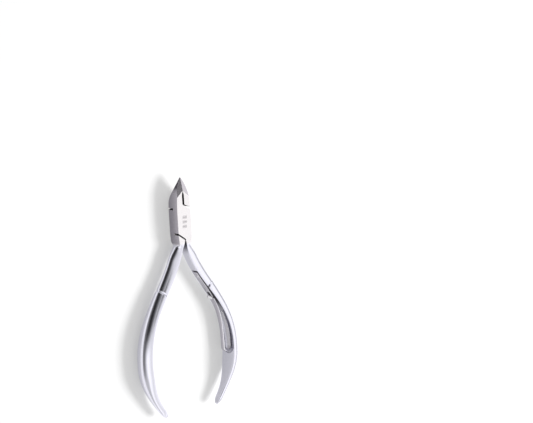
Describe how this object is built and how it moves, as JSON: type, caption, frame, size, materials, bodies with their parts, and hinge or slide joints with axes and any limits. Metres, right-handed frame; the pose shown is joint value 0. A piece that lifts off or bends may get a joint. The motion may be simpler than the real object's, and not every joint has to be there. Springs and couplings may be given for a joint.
{
  "type": "cuticle nipper",
  "caption": "Steel cuticle nipper with a flush-pinned lap joint, ground pointed jaws, bowed D-section handles and a fold-out leaf spring parked in one handle.",
  "frame": {"origin": "on the pivot axis, at the ground rear face of the joint, on the flush end of the pivot pin", "axes": "+X from the left handle to the right one as seen from the front, +Y along the centre line to the jaw tip, +Z along the pivot axis out of the front face"},
  "size_m": [0.056, 0.1065, 0.0083],
  "materials": {
    "forged_steel": "satin polished stainless steel, ground flat on the joint",
    "pin_steel": "ground stainless steel",
    "spring_steel": "rolled spring steel strip"
  },
  "bodies": {
    "front_lever": {"front_lever": "forged_steel", "pivot_pin": "pin_steel", "spring_strap": "spring_steel", "strap_rivet": "pin_steel", "knuckle_pin": "pin_steel"},
    "rear_lever": {"rear_lever": "forged_steel"},
    "bow_spring": {"bow_spring": "spring_steel"}
  },
  "joints": [
    {"name": "jaw_pivot", "type": "hinge", "parent": "front_lever", "child": "rear_lever", "pos_m": [0, 0, 0.003], "axis": [0, 0, -1], "range_deg": [0, 14]},
    {"name": "spring_fold", "type": "hinge", "parent": "front_lever", "child": "bow_spring", "pos_m": [0.01456, -0.03753, 0.003], "axis": [0, 0, -1], "range_deg": [0, 95]}
  ]
}
